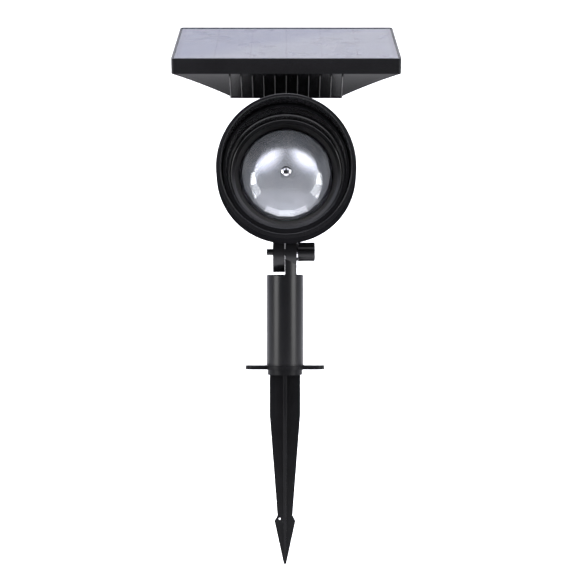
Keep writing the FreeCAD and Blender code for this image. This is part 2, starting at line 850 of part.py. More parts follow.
def tooth_corners(teeth, tip, root, thinning):
    """One tooth of a gear of module one, pointing along +X: involute flanks as short chords."""
    pitch = teeth / 2
    base = pitch * math.cos(math.radians(20))

    def half_angle(radius):
        lean = math.acos(min(1.0, base / max(radius, base)))
        at_pitch = math.radians(20)
        spread = math.tan(at_pitch) - at_pitch - (math.tan(lean) - lean)
        return math.pi / (2 * teeth) + spread - thinning / pitch

    radii = [root - 0.35, max(root, base * 0.985)]
    radii += [max(root, base) + (tip - max(root, base)) * share for share in (0.2, 0.45, 0.7, 1.0)]
    upper = [(r * math.cos(half_angle(r)), r * math.sin(half_angle(r))) for r in radii]
    return [(x, -y) for x, y in upper] + list(reversed(upper))


def make_gear(label, teeth, tip, root, bore, first_angle, centre_y, back, extra):
    """A spur gear padded from its root disc, one tooth and a round pattern of it."""
    frame = HEAD.multiply(Placement(Vector(0, centre_y, 0), Rotation(Vector(0, 0, 1), first_angle)))
    body = new_body(label, frame)
    disc = new_sketch(body, "XY_Plane", back)
    draw_circle(disc, 0, 0, D.gear_module * root)
    pad(body, disc, D.gear_width)
    tooth = new_sketch(body, "XY_Plane", back)
    outline = tooth_corners(teeth.value, tip, root, 0.09)
    draw_polygon(tooth, [(D.gear_module * round(x, 5), D.gear_module * round(y, 5)) for x, y in outline])
    made = pad(body, tooth, D.gear_width)
    repeat_round(body, [made], teeth)
    doc.recompute()
    extra(body)
    if bore is not None:
        hole = new_sketch(body, "XY_Plane", as_size(back) + 20)
        draw_circle(hole, 0, 0, bore)
        pocket(body, hole, 60)
    return node(body, label)


def gear_hub(body):
    hub = new_sketch(body, "XY_Plane", D.gear_back)
    draw_circle(hub, 0, 0, 5.0)
    pad(body, hub, D.gear_width + 0.4)


def pinion_stem(body):
    stem = new_sketch(body, "XY_Plane", D.gear_back - 7.0)
    draw_circle(stem, 0, 0, 1.0)
    pad(body, stem, D.gear_width + 6.0)


def make_drive():
    centre = D.gear_module * (D.gear_teeth + D.pinion_teeth) / 2
    make_gear(
        "dome_gear", D.gear_teeth, D.gear_teeth.value / 2 + 0.8, D.gear_teeth.value / 2 - 1.3,
        D.shaft_radius, 90.0, 0.0, D.gear_back, gear_hub,
    )
    make_gear(
        "drive_pinion", D.pinion_teeth, D.pinion_teeth.value / 2 + 0.9, D.pinion_teeth.value / 2 - 1.15,
        None, -75.0, centre.value, D.gear_back, pinion_stem,
    )

    bush = new_body("shaft_bush", HEAD)
    inner = D.shaft_radius + D.running_gap
    revolve(
        bush,
        [
            (inner, D.plate_back - 1.2),
            (4.4, D.plate_back - 1.2),
            (4.4, D.plate_back + D.plate_thickness),
            (5.6, D.plate_back + D.plate_thickness),
            (5.6, D.plate_back + D.plate_thickness + 1.0),
            (inner, D.plate_back + D.plate_thickness + 1.0),
        ],
    )
    node(bush, "shaft_bush")

    plate = new_body("gear_plate", HEAD)
    disc = new_sketch(plate, "XY_Plane", D.plate_back)
    draw_circle(disc, 0, 0, D.plate_radius)
    pad(plate, disc, D.plate_thickness)
    spacers = new_sketch(plate, "XY_Plane", D.plate_back + 0.5)
    for x, y in BOARD_POSTS:
        draw_circle(spacers, x, y, 2.4)
    pad(plate, spacers, D.board_back - D.plate_back - 0.5)
    legs = new_sketch(plate, "XY_Plane", D.gear_back - 1.0)
    for x in (-12.5, 12.5):
        draw_circle(legs, x, centre, 2.2)
    pad(plate, legs, D.plate_back - D.gear_back + 1.5)
    for places, radius, top, depth in (
        ([(0, 0)], 4.4, D.plate_back + 5, 12.0),
        (PLATE_POSTS, 1.5, D.plate_back + 5, 12.0),
        (BOARD_POSTS, 1.0, D.board_back, 6.0),
        ([(-12.5, centre), (12.5, centre)], 1.0, D.plate_back + 5, 14.0),
    ):
        hole = new_sketch(plate, "XY_Plane", top)
        for x, y in places:
            draw_circle(hole, x, y, radius)
        pocket(plate, hole, depth)
    node(plate, "gear_plate")

    bracket = new_body("motor_bracket", HEAD)
    face = new_sketch(bracket, "XY_Plane", D.gear_back - 2.6)
    draw_rectangle(face, -15.0, centre - 6.0, 15.0, centre + 6.0)
    pad(bracket, face, 1.6)
    eye = new_sketch(bracket, "XY_Plane", D.gear_back + 2)
    draw_circle(eye, 0, centre, 1.6)
    for x in (-12.5, 12.5):
        draw_circle(eye, x, centre, 1.2)
    pocket(bracket, eye, 8.0)
    node(bracket, "motor_bracket")

    motor = new_body("gear_motor", HEAD)
    can_front = D.gear_back - 2.6
    can = new_sketch(motor, "XY_Plane", can_front - D.motor_length)
    draw_circle(can, 0, centre, D.motor_radius)
    pad(motor, can, D.motor_length)
    bore = new_sketch(motor, "XY_Plane", can_front)
    draw_circle(bore, 0, centre, 1.03)
    pocket(motor, bore, 6.0)
    node(motor, "gear_motor")

    screw_set("plate_screws", 1.25, 2.4, PLATE_POSTS, -38.0, -27.0, -25.4, HEAD)
    screw_set("board_screws", 1.0, 1.9, BOARD_POSTS, -29.0, -23.4, -22.2, HEAD)
    bracket_tips = [(-12.5, centre), (12.5, centre)]
    made = []
    for x, y in bracket_tips:
        made.append(fused(cylinder(1.0, 7.0, x, y, -36.6), cylinder(2.0, 1.4, x, y, -38.0)))
    group = doc.addObject("Part::Compound", "screws")
    group.Links = made
    node(group, "motor_screws", HEAD)


def make_light_source():
    board = new_body("led_board", HEAD)
    disc = new_sketch(board, "XY_Plane", D.board_back)
    draw_circle(disc, 0, 0, D.board_radius)
    draw_circle(disc, 0, 0, 5.2)
    for x, y in BOARD_POSTS:
        draw_circle(disc, x, y, 1.0)
    pad(board, disc, D.board_thickness)
    node(board, "led_board")

    top = D.board_back + D.board_thickness
    half = D.led_size / 2
    chips = []
    for x, y in on_circle(D.led_circle.value, (45, 135, 225, 315)):
        base = box(half * -1 + x, half * -1 + y, top, half + x, half + y, top + D.led_height)
        lens = common(sphere(2.0, x, y, top + D.led_height), cylinder(2.0, 2.0, x, y, top + D.led_height - 0.2))
        chips.append(fused(base, lens))
    group = doc.addObject("Part::Compound", "chips")
    group.Links = chips
    node(group, "led_array", HEAD)

    ball = sphere_radius()
    centre = D.dome_base + D.dome_skirt + D.dome_height - ball
    skin = ball - D.dome_wall - 1.2
    outer = common(sphere(skin, z=centre), cylinder(24.8, 30.0, z=top))
    inner = common(sphere(skin - 1.2, z=centre), cylinder(23.7, 30.0, z=top - 1))
    node(cut(cut(outer, inner), cylinder(5.1, 40.0, z=-30.0)), "reflector", HEAD)


def make_controls():
    button = new_body("power_button", HEAD)
    revolve(
        button,
        [
            (0, D.housing_back - D.button_proud),
            (D.button_radius - 0.5, D.housing_back - D.button_proud),
            (D.button_radius, D.housing_back - D.button_proud + 0.5),
            (D.button_radius, -59.4),
            (D.button_radius + 1.4, -59.4),
            (D.button_radius + 1.4, -58.2),
            (2.0, -58.2),
            (2.0, -57.0),
            (0, -57.0),
        ],
    )
    node(button, "power_button", HEAD.multiply(Placement(Vector(0, -14.0, 0), Rotation())))

    board = new_body("control_board", HEAD)
    sheet_outline = new_sketch(board, "XY_Plane", -49.2)
    draw_rectangle(sheet_outline, -15.0, -21.0, 15.0, -4.0)
    for x, y in CONTROL_POSTS:
        draw_circle(sheet_outline, x, y, 1.0)
    pad(board, sheet_outline, 1.2)
    node(board, "control_board")

    case = box(-4.0, -18.0, -54.0, 4.0, -10.0, -49.2)
    plunger = cylinder(1.6, 1.2, 0, -14.0, -55.1)
    node(fused(case, plunger), "power_switch", HEAD)
    screw_set("control_screws", 1.0, 1.9, CONTROL_POSTS, -54.0, -48.0, -46.8, HEAD)


make_dome()
make_drive()
make_light_source()
make_controls()


# ================================================================ hinge and solar panel


def make_hinge_bracket():
    """A saddle on top of the housing that carries the two hinge ears."""
    outer = cylinder(D.housing_radius + 1.8, 16.4, z=-36.8)
    block = box(-16.0, 20.0, -36.8, 16.0, 40.0, -20.4)
    inner = cylinder(D.housing_radius + 0.05, 30.0, z=-45.0)
    pieces = [common(outer, block)]
    for start in (-D.ear_outer, D.ear_inner):
        foot_top = D.hinge_up
        width = D.ear_outer - D.ear_inner
        pieces.append(box(start, 31.0, D.hinge_back - D.ear_radius, start + width, foot_top, D.hinge_back + D.ear_radius))
        pieces.append(cylinder(D.ear_radius, width, x=start, y=D.hinge_up, z=D.hinge_back, along="x"))
    holes = [cylinder(D.pin_radius, 40.0, x=-20.0, y=D.hinge_up, z=D.hinge_back, along="x")]
    holes += [cylinder(1.4, 20.0, x=x, y=20.0, z=along, along="y") for x, along in HINGE_SCREWS]
    node(cut(fused(*pieces), fused(inner, *holes)), "hinge_bracket", HEAD)

    made = []
    for x, along in HINGE_SCREWS:
        shank = cylinder(1.25, 6.0, x=x, y=27.6, z=along, along="y")
        head = cylinder(2.4, 1.6, x=x, y=33.6, z=along, along="y")
        made.append(fused(shank, head))
    group = doc.addObject("Part::Compound", "screws")
    group.Links = made
    node(group, "hinge_screws", HEAD)


def make_hinge_tongue():
    """The panel's half of the hinge: a knuckle on a foot that bolts up into the cover."""
    body = new_body("hinge_tongue", PANEL)
    foot = new_sketch(body, "XY_Plane", -D.cover_base - 2.5)
    draw_rectangle(foot, -16.0, D.tongue_y - 5.5, 16.0, D.tongue_y + 5.5)
    pad(body, foot, 2.45)
    tongue = new_sketch(body, "YZ_Plane")
    draw_rectangle(tongue, D.tongue_y - 5.5, D.tongue_z, D.tongue_y + 5.5, -D.cover_base - 0.5)
    pad(body, tongue, D.tongue_half_width * 2, midplane=True)
    knuckle = new_sketch(body, "YZ_Plane")
    draw_circle(knuckle, D.tongue_y, D.tongue_z, D.ear_radius - 0.5)
    pad(body, knuckle, D.tongue_half_width * 2, midplane=True)
    bore = new_sketch(body, "YZ_Plane")
    draw_circle(bore, D.tongue_y, D.tongue_z, D.pin_radius + 0.05)
    pocket(body, bore, 30, midplane=True)
    for x, y in TONGUE_SCREWS:
        hole = new_sketch(body, "XY_Plane", -D.cover_base)
        draw_circle(hole, x, D.tongue_y, 1.25)
        pocket(body, hole, 5.0)
    node(body, "hinge_tongue")

    made = []
    for x, y in TONGUE_SCREWS:
        shank = cylinder(1.25, 4.6, x, D.tongue_y, -D.cover_base - 2.5)
        head = cylinder(2.2, 1.3, x, D.tongue_y, -D.cover_base - 3.8)
        made.append(fused(shank, head))
    group = doc.addObject("Part::Compound", "screws")
    group.Links = made
    node(group, "tongue_screws", PANEL)


def make_hinge():
    place = HEAD.multiply(
        Placement(Vector(0, D.hinge_up.value, D.hinge_back.value), Rotation(Vector(0, 1, 0), 90))
    )
    bolt = new_body("hinge_bolt", place)
    revolve(
        bolt,
        [
            (0, -D.ear_outer - 2.4),
            (3.0, -D.ear_outer - 2.4),
            (3.6, -D.ear_outer - 1.8),
            (3.6, -D.ear_outer),
            (D.pin_radius, -D.ear_outer),
            (D.pin_radius, D.ear_outer + 3.0),
            (0, D.ear_outer + 3.0),
        ],
    )
    node(bolt, "hinge_bolt")

    nut = new_body("hinge_nut", place)
    hexagon = new_sketch(nut, "XY_Plane", D.ear_outer)
    across = 4.0
    corners = [
        (across * round(math.cos(math.radians(60 * i)), 6), across * round(math.sin(math.radians(60 * i)), 6))
        for i in range(6)
    ]
    draw_polygon(hexagon, corners)
    draw_circle(hexagon, 0, 0, D.pin_radius)
    pad(nut, hexagon, 2.4)
    node(nut, "hinge_nut")


TONGUE_SCREWS = [(-12.5, 0), (12.5, 0)]
COVER_SCREWS = [(x, y) for x in (-57.0, 57.0) for y in (-38.5, 38.5)]
CHARGE_POSTS = [(x, y) for x in (-24.0, 24.0) for y in (-20.5, -7.5)]


def make_panel_tray():
    body = new_body("panel_tray", PANEL)
    half_x, half_y = D.panel_width / 2, D.panel_depth / 2
    outline = new_sketch(body, "XY_Plane", -D.panel_wall)
    draw_rectangle(outline, -half_x, -half_y, half_x, half_y)
    pad(body, outline, D.panel_wall)

    def is_corner(edge):
        ends = [vertex.Point for vertex in edge.Vertexes]
        return len(ends) == 2 and abs(ends[0].x - ends[1].x) + abs(ends[0].y - ends[1].y) < 1e-6

    round_edges(body, D.panel_corner, is_corner)
    recess = new_sketch(body, "XY_Plane")
    glass_x, glass_y = half_x - D.rim_width, half_y - D.rim_width
    draw_rectangle(recess, -glass_x, -glass_y, glass_x, glass_y)
    pocket(body, recess, D.recess_depth)
    hollow = new_sketch(body, "XY_Plane", -D.recess_depth - D.panel_floor)
    draw_rectangle(hollow, -(half_x - 3), -(half_y - 3), half_x - 3, half_y - 3)
    pocket(body, hollow, 20.0)
    groove = new_sketch(body, "XY_Plane", -D.panel_wall + 0.9)
    draw_rectangle(groove, -(half_x - 1.0), -(half_y - 1.0), half_x - 1.0, half_y - 1.0)
    draw_rectangle(groove, -(half_x - 2.0), -(half_y - 2.0), half_x - 2.0, half_y - 2.0)
    pocket(body, groove, 5.0)
    posts = new_sketch(body, "XY_Plane", -D.panel_wall)
    for x, y in COVER_SCREWS:
        draw_circle(posts, x, y, 3.4)
    pad(body, posts, D.panel_wall - D.recess_depth - D.panel_floor + 0.5)
    for x, y in COVER_SCREWS:
        hole = new_sketch(body, "XY_Plane", -4.9)
        draw_circle(hole, x, y, 1.25)
        pocket(body, hole, 10.0)
    return node(body, "panel_tray")


def loft(body, sections, removing=False):
    kind = "PartDesign::SubtractiveLoft" if removing else "PartDesign::AdditiveLoft"
    sketches = []
    for half_x, half_y, height in sections:
        sketch = new_sketch(body, "XY_Plane", height)
        draw_rectangle(sketch, -half_x, -half_y, half_x, half_y)
        sketches.append(sketch)
    feature = body.newObject(kind, "loft")
    feature.Profile = sketches[0]
    feature.Sections = sketches[1:]
    feature.Ruled = False
    body.Tip = feature
    doc.recompute()
    return feature


def make_panel_cover():
    """The bowed pyramid under the panel, with ribs down its front and the hinge tongue below."""
    body = new_body("panel_cover_body", PANEL)
    top_x, top_y = D.panel_width / 2 - 0.35, D.panel_depth / 2 - 0.35
    low_x, low_y = D.cover_base_width / 2, D.cover_base_depth / 2
    mid_x = (D.panel_width / 2 + low_x) / 2 - D.cover_bow
    mid_y = (D.panel_depth / 2 + low_y) / 2 - D.cover_bow
    low = -D.cover_base + D.cover_lip
    mid = (low - D.panel_wall) / 2
    seam = -D.panel_wall - 0.05
    loft(body, [(top_x, top_y, seam), (mid_x, mid_y, mid), (low_x, low_y, low)])
    lip = new_sketch(body, "XY_Plane", -D.cover_base)
    draw_rectangle(lip, -low_x, -low_y, low_x, low_y)
    pad(body, lip, D.cover_lip)
    wall = D.cover_wall
    loft(
        body,
        [
            (top_x - wall, top_y - wall, -D.panel_wall + 0.01),
            (mid_x - wall, mid_y - wall, mid),
            (low_x - wall, low_y - wall, low + 1.0),
        ],
        removing=True,
    )

    # ribs follow the bow of the front slope
    out_y, out_z = -0.689, -0.725
    spine = [(-top_y + 1.3, -D.panel_wall - 1.35), (-mid_y, mid), (-low_y - 0.05, low)]
    outer = [(y + D.rib_height * out_y, z + D.rib_height * out_z) for y, z in spine]
    inner = [(y - out_y * 1.0, z - out_z * 1.0) for y, z in spine]
    first_rib = -D.rib_pitch * (D.rib_count - 1) / 2
    rib = new_sketch(body, "YZ_Plane", first_rib)
    draw_polygon(rib, outer + list(reversed(inner)))
    made = pad(body, rib, D.rib_thickness, midplane=True)
    repeat_along(body, [made], "X_Axis", D.rib_pitch * (D.rib_count - 1), D.rib_count)
    doc.recompute()

    rests = new_sketch(body, "XY_Plane", low + 0.5)
    for x, y in CHARGE_POSTS:
        draw_circle(rests, x, y, 2.3)
    pad(body, rests, 3.4)
    for x, y in CHARGE_POSTS:
        hole = new_sketch(body, "XY_Plane", low + 3.9)
        draw_circle(hole, x, y, 1.0)
        pocket(body, hole, 3.6)
    for x, y in TONGUE_SCREWS:
        hole = new_sketch(body, "XY_Plane", low + 3.0)
        draw_circle(hole, x, D.tongue_y, 1.25)
        pocket(body, hole, 6.0)
    doc.recompute()

    # bosses for the four case screws, each in a counterbore from below
    body.Placement = Placement()
    bosses = [cylinder(4.2, 6.5, x, y, -D.panel_wall - 6.5) for x, y in COVER_SCREWS]
    solid_block = new_body("cover_block")
    loft(solid_block, [(top_x, top_y, seam), (mid_x, mid_y, mid), (low_x, low_y, low)])
    seats = [cylinder(2.7, 20.0, x, y, -32.5) for x, y in COVER_SCREWS]
    holes = [cylinder(1.5, 30.0, x, y, -35.0) for x, y in COVER_SCREWS]
    whole = fused(body, common(solid_block, fused(*bosses)))
    return node(cut(whole, fused(*seats, *holes)), "panel_cover", PANEL)


def make_panel_layers():
    half_x = D.panel_width / 2 - D.rim_width - 0.2
    half_y = D.panel_depth / 2 - D.rim_width - 0.2
    for label, low, high in (("solar_backing", -2.4, -1.5), ("solar_glass", -1.1, -0.3)):
        body = new_body(label, PANEL)
        outline = new_sketch(body, "XY_Plane", low)
        draw_rectangle(outline, -half_x, -half_y, half_x, half_y)
        pad(body, outline, round(high - low, 3))
        node(body, label)

    cells = new_body("solar_cells", PANEL)
    columns, rows = 6, 2
    margin, gap = 3.0, 0.8
    wide = ((half_x - margin) * 2 - gap * (columns - 1)) / columns
    deep = ((half_y - margin) * 2 - gap * (rows - 1)) / rows
    grid = new_sketch(cells, "XY_Plane", -1.5)
    for column in range(columns):
        for row in range(rows):
            x0 = (wide + gap) * column - half_x + margin
            y0 = (deep + gap) * row - half_y + margin
            draw_rectangle(grid, x0, y0, x0 + wide, y0 + deep)
    pad(cells, grid, 0.38)
    node(cells, "solar_cells")

    gasket = new_body("tray_gasket", PANEL)
    band = new_sketch(gasket, "XY_Plane", -D.panel_wall)
    out_x, out_y = D.panel_width / 2 - 1.05, D.panel_depth / 2 - 1.05
    draw_rectangle(band, -out_x, -out_y, out_x, out_y)
    draw_rectangle(band, -(out_x - 0.9), -(out_y - 0.9), out_x - 0.9, out_y - 0.9)
    pad(gasket, band, 0.85)
    node(gasket, "tray_gasket")


def make_panel_inside():
    cell_y, cell_z = 8.0, -17.4
    node(
        fused(
            cylinder(D.cell_radius, D.cell_length, -D.cell_length / 2, cell_y, cell_z, along="x"),
            cylinder(3.0, 0.8, D.cell_length / 2, cell_y, cell_z, along="x"),
        ),
        "battery",
        PANEL,
    )
    trough = box(-30.0, cell_y - 9.0, -27.45, 30.0, cell_y + 9.0, -20.0)
    ends = [
        box(side, cell_y - 7.0, -25.0, side + 1.8, cell_y + 7.0, -11.0) for side in (-36.1, 34.3)
    ]
    links = [
        box(side, cell_y - 7.0, -25.0, side + 5.5, cell_y + 7.0, -22.0) for side in (-35.0, 29.5)
    ]
    hollow = cylinder(D.cell_radius + 0.05, 68.6, -34.3, cell_y, cell_z, along="x")
    node(cut(fused(trough, *ends, *links), hollow), "battery_cradle", PANEL)

    contact_list = [
        box(-33.9, cell_y - 4.0, -21.0, -33.4, cell_y + 4.0, -13.5),
        box(33.7, cell_y - 4.0, -21.0, 34.2, cell_y + 4.0, -13.5),
        cylinder(2.2, 0.8, -33.4, cell_y, cell_z, along="x"),
    ]
    group = fused(fused(contact_list[0], contact_list[2]), contact_list[1])
    node(group, "battery_contacts", PANEL)

    base = box(-28.0, -24.0, -24.6, 28.0, -3.6, -23.4)
    chip = box(-6.0, -18.0, -23.5, 6.0, -10.0, -21.8)
    socket = box(16.0, -17.0, -23.5, 22.0, -11.0, -19.6)
    coil = cylinder(3.5, 4.6, -15.0, -14.0, -23.5)
    holes = [cylinder(1.0, 4.0, x, y, -26.0) for x, y in CHARGE_POSTS]
    node(cut(fused(base, chip, socket, coil), fused(*holes)), "charge_board", PANEL)
    screw_set("charge_screws", 1.0, 1.9, CHARGE_POSTS, -27.5, -23.4, -22.2, PANEL)

    made = []
    for x, y in COVER_SCREWS:
        made.append(fused(cylinder(1.25, 7.2, x, y, -12.5), cylinder(2.4, 1.7, x, y, -14.2)))
    group = doc.addObject("Part::Compound", "screws")
    group.Links = made
    node(group, "cover_screws", PANEL)


make_hinge_bracket()
make_hinge_tongue()
make_hinge()
make_panel_tray()
make_panel_cover()
make_panel_layers()
make_panel_inside()


# ================================================================ check and export

doc.recompute()
for thing in doc.Objects:
    if "Invalid" in thing.State or "Error" in thing.State:
        raise ValueError("%s (%s) is %s" % (thing.Name, thing.Label, thing.State))

os.makedirs("parts", exist_ok=True)
for label, thing in nodes:
    shape = thing.Shape
    if shape.isNull() or not shape.isValid() or not shape.Solids:
        raise ValueError("%s has no valid solid" % label)
    if len(shape.Solids) != 1:
        print("%s has %d solids" % (label, len(shape.Solids)))
    shape.exportStep("parts/%s.step" % label)
print("%d sub-parts" % len(nodes))
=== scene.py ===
import json
import math

import bpy
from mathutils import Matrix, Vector


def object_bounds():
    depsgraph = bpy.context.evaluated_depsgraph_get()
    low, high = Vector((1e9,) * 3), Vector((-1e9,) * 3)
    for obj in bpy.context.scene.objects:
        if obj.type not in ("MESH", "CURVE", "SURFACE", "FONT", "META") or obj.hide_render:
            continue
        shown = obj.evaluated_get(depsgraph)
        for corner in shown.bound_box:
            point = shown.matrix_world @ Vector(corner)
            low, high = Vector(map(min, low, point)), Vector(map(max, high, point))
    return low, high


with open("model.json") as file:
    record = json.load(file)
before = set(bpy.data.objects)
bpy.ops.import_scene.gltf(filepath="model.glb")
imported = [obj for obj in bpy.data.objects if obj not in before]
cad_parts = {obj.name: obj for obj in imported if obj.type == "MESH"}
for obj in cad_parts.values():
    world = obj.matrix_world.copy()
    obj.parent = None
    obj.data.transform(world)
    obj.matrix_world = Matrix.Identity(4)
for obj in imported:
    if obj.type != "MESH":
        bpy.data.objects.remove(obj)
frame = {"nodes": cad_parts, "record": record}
cad_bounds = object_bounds()
nodes = frame["nodes"]
scene = bpy.context.scene


# ---------------------------------------------------------------- materials


class Recipe:
    """A material's node tree, with short ways to add what the recipes below need."""

    def __init__(self, name):
        self.material = bpy.data.materials.new(name)
        self.material.use_nodes = True
        self.tree = self.material.node_tree
        self.shader = self.tree.nodes["Principled BSDF"]
        self.place = self.add("ShaderNodeTexCoord").outputs["Object"]

    def add(self, kind, **settings):
        made = self.tree.nodes.new(kind)
        for key, value in settings.items():
            setattr(made, key, value)
        return made

    def link(self, out, into):
        self.tree.links.new(out, into)

    def noise(self, scale, detail=3.0, roughness=0.55, stretch=None):
        made = self.add("ShaderNodeTexNoise")
        made.inputs["Scale"].default_value = scale
        made.inputs["Detail"].default_value = detail
        made.inputs["Roughness"].default_value = roughness
        if stretch is None:
            self.link(self.place, made.inputs["Vector"])
        else:
            mapped = self.add("ShaderNodeMapping")
            mapped.inputs["Scale"].default_value = stretch
            self.link(self.place, mapped.inputs["Vector"])
            self.link(mapped.outputs["Vector"], made.inputs["Vector"])
        return made.outputs["Fac"]

    def spread(self, value, low, high, from_low=0.35, from_high=0.65):
        """Map a 0..1 pattern to low..high."""
        made = self.add("ShaderNodeMapRange")
        made.inputs["From Min"].default_value = from_low
        made.inputs["From Max"].default_value = from_high
        made.inputs["To Min"].default_value = low
        made.inputs["To Max"].default_value = high
        self.link(value, made.inputs["Value"])
        return made.outputs["Result"]

    def between(self, value, first, second):
        """Mix two colours by a 0..1 value."""
        made = self.add("ShaderNodeMix", data_type="RGBA")
        made.inputs["A"].default_value = (*first, 1)
        made.inputs["B"].default_value = (*second, 1)
        self.link(value, made.inputs["Factor"])
        return made.outputs["Result"]

    def bump(self, height, strength, distance):
        made = self.add("ShaderNodeBump")
        made.inputs["Strength"].default_value = strength
        made.inputs["Distance"].default_value = distance
        self.link(height, made.inputs["Height"])
        self.link(made.outputs["Normal"], self.shader.inputs["Normal"])

    def set(self, **values):
        for key, value in values.items():
            self.shader.inputs[key.replace("_", " ")].default_value = value


def plastic(name, dark, light, rough, grain, spec=0.5, coat=0.0, coat_rough=0.05):
    """Moulded plastic: a faint mottle in its colour, uneven gloss and a fine surface grain."""
    r = Recipe(name)
    mottle = r.noise(60, 4)
    r.link(r.between(r.spread(mottle, 0, 1), dark, light), r.shader.inputs["Base Color"])
    r.link(r.spread(r.noise(25, 3), rough[0], rough[1]), r.shader.inputs["Roughness"])
    r.set(Specular_IOR_Level=spec, Coat_Weight=coat, Coat_Roughness=coat_rough)
    r.bump(r.noise(grain[0], 2), grain[1], grain[2])
    return r.material


def metal(name, tint, rough, brush=(400, 400, 60), grain=0.08):
    """Plated or turned metal with fine lines from the tool."""
    r = Recipe(name)
    lines = r.noise(1.0, 3, stretch=brush)
    r.link(
        r.between(r.spread(lines, 0, 1), tuple(c * 0.86 for c in tint), tint),
        r.shader.inputs["Base Color"],
    )
    r.link(r.spread(lines, rough[0], rough[1]), r.shader.inputs["Roughness"])
    r.set(Metallic=1.0)
    r.bump(lines, grain, 0.00005)
    return r.material


HEAD_SIDE = 0.0008
HEAD_CENTRE = (HEAD_SIDE, -0.020, 0.123)
HEAD_AXIS = (0, -0.992546, 0.121869)
RIB_PITCH = 0.00693
RIB_WIDTH = 0.0006
RIB_START = HEAD_SIDE - RIB_WIDTH / 2
RIBS_HALF_SPAN = 0.038
RIB_HIGHLIGHT_FADE = (0.1800, 0.1818)  # heights between which the painted highlight on the rib crests fades out
HOOD_SKIN = (0.04215, 0.04245)  # radii between which the hood's gloss dies away
FINGER_PITCH = 0.0022
BUSBAR_PITCH = 0.0115
LINE_SHARE = 0.10
FLOOR_FADE = (-0.46, -0.26)  # the floor's painted shade turns from grey to white between these depths

MATERIALS = {
    "black_gloss": plastic(
        "black_gloss", (0.0040, 0.0040, 0.0045), (0.0055, 0.0055, 0.0062),
        (0.18, 0.21), (1400, 0.06, 0.00002), spec=0.28,
    ),
    "black_satin": plastic(
        "black_satin", (0.0045, 0.0045, 0.005), (0.006, 0.006, 0.0066),
        (0.28, 0.32), (1400, 0.06, 0.00002), spec=0.28,
    ),
    "black_matte": plastic(
        "black_matte", (0.0040, 0.0040, 0.0044), (0.0060, 0.0060, 0.0066),
        (0.30, 0.36), (1100, 0.12, 0.00003), spec=0.16,
    ),
    "plated_steel": metal("plated_steel", (0.72, 0.72, 0.74), (0.10, 0.2)),
    "screw_steel": metal("screw_steel", (0.44, 0.44, 0.46), (0.30, 0.42)),
    "brass": metal("brass", (0.74, 0.55, 0.25), (0.2, 0.32)),
    "seal_rubber": plastic(
        "seal_rubber", (0.010, 0.010, 0.011), (0.018, 0.018, 0.018),
        (0.6, 0.75), (900, 0.2, 0.00005),
    ),
    "white_nylon": plastic(
        "white_nylon", (0.74, 0.74, 0.72), (0.82, 0.82, 0.80),
        (0.4, 0.5), (900, 0.08, 0.00005),
    ),
    "grey_plastic": plastic(
        "grey_plastic", (0.16, 0.16, 0.17), (0.2, 0.2, 0.21),
        (0.4, 0.5), (900, 0.1, 0.00005),
    ),
    "board_green": plastic(
        "board_green", (0.02, 0.13, 0.05), (0.03, 0.18, 0.07),
        (0.3, 0.42), (900, 0.08, 0.00005),
    ),
    "led_resin": plastic(
        "led_resin", (0.85, 0.74, 0.34), (0.92, 0.84, 0.5),
        (0.12, 0.2), (700, 0.05, 0.00005), coat=0.6,
    ),
    "button_rubber": plastic(
        "button_rubber", (0.02, 0.02, 0.022), (0.03, 0.03, 0.033),
        (0.5, 0.65), (1100, 0.15, 0.00005),
    ),
    "switch_plastic": plastic(
        "switch_plastic", (0.03, 0.03, 0.033), (0.05, 0.05, 0.055),
        (0.4, 0.5), (900, 0.1, 0.00005),
    ),
    "backing_board": plastic(
        "backing_board", (0.010, 0.011, 0.024), (0.014, 0.015, 0.03),
        (0.45, 0.6), (900, 0.08, 0.00005),
    ),
    "battery_wrap": plastic(
        "battery_wrap", (0.03, 0.14, 0.32), (0.04, 0.18, 0.4),
        (0.2, 0.3), (500, 0.05, 0.00008), coat=0.5,
    ),
}


def dome_material():
    """Clear moulded lens with a half-silvered face, and a trace of flow marks."""
    r = Recipe("clear_lens")
    flow = r.noise(70, 2)
    r.link(
        r.between(r.spread(flow, 0, 1), (0.82, 0.85, 0.90), (0.88, 0.90, 0.94)),
        r.shader.inputs["Base Color"],
    )
    r.link(r.spread(flow, 0.19, 0.22), r.shader.inputs["Roughness"])
    r.set(Transmission_Weight=0.70, IOR=1.5, Metallic=0.45, Specular_IOR_Level=0.8)
    r.bump(flow, 0.03, 0.0001)
    return r.material


def mirror_material():
    """Half-silvered liner behind the dome: bright, slightly uneven metal."""
    r = Recipe("mirror_coat")
    shade = r.noise(90, 3)
    silver = r.between(r.spread(shade, 0, 1), (0.80, 0.82, 0.86), (0.88, 0.90, 0.93))
    r.link(silver, r.shader.inputs["Base Color"])
    r.link(r.spread(shade, 0.05, 0.10), r.shader.inputs["Roughness"])
    r.set(Metallic=1.0)
    r.bump(r.noise(120, 2), 0.12, 0.0004)
    return r.material


